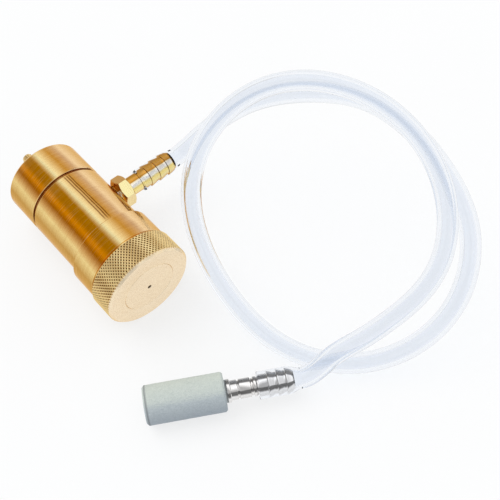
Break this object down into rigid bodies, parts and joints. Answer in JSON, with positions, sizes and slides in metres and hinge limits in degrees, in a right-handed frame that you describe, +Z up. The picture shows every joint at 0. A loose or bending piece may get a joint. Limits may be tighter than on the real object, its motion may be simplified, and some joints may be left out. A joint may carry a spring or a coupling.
{
  "type": "carbon dioxide diffuser",
  "caption": "Brass screw-down cylinder tap with a knurled knob and push pin, a barbed side outlet, a coiled clear hose and a porous stone on a barbed stem.",
  "frame": {"origin": "centre of the tap's inlet mouth, on the tap's axis", "axes": "+Y out of the inlet mouth along the tap's axis, the knob towards -Y; +X along the hose outlet; +Z up"},
  "size_m": [0.1261, 0.1471, 0.0604],
  "materials": {
    "barrel_brass": "satin turned",
    "knob_brass": "turned and knurled",
    "face_brass": "bright faced",
    "fitting_brass": "bright",
    "inner_brass": "turned",
    "steel": "polished",
    "spring_steel": "drawn wire",
    "nitrile": "matt",
    "nylon": "satin",
    "bronze": "sintered",
    "clear_hose": "clear flexible tube",
    "stone": "fine sintered, matt"
  },
  "bodies": {
    "tap": {"inlet_socket": "barrel_brass", "socket_gasket": "nylon", "spigot_seal": "nitrile", "valve_body": "barrel_brass", "pin_seal_front": "nitrile", "seal_spacer": "inner_brass", "pin_seal_rear": "nitrile", "gland_nut": "inner_brass", "stop_ring": "spring_steel", "return_spring": "spring_steel", "outlet_seal": "nylon", "outlet_barb": "fitting_brass", "filter_disc": "bronze", "flow_restrictor": "steel", "air_hose": "clear_hose", "stone_stem": "steel", "stem_washer": "nylon", "diffuser_stone": "stone"},
    "pin": {"push_pin": "inner_brass", "spring_seat": "steel", "thrust_ball": "steel"},
    "knob": {"knob_grip": "knob_brass", "knob_plug": "face_brass"}
  },
  "joints": [
    {"name": "pin_travel", "type": "slide", "parent": "tap", "child": "pin", "axis": [0, 1, 0], "range_m": [0, 0.0025], "deforming": ["return_spring"]},
    {"name": "knob_turn", "type": "hinge", "parent": "pin", "child": "knob", "pos_m": [0, -0.05, 0], "axis": [0, 1, 0], "range_deg": [0, 720]}
  ],
  "couplings": [
    {"joint": "pin_travel", "follows": "knob_turn", "m_per_rad": 0.00019894}
  ]
}
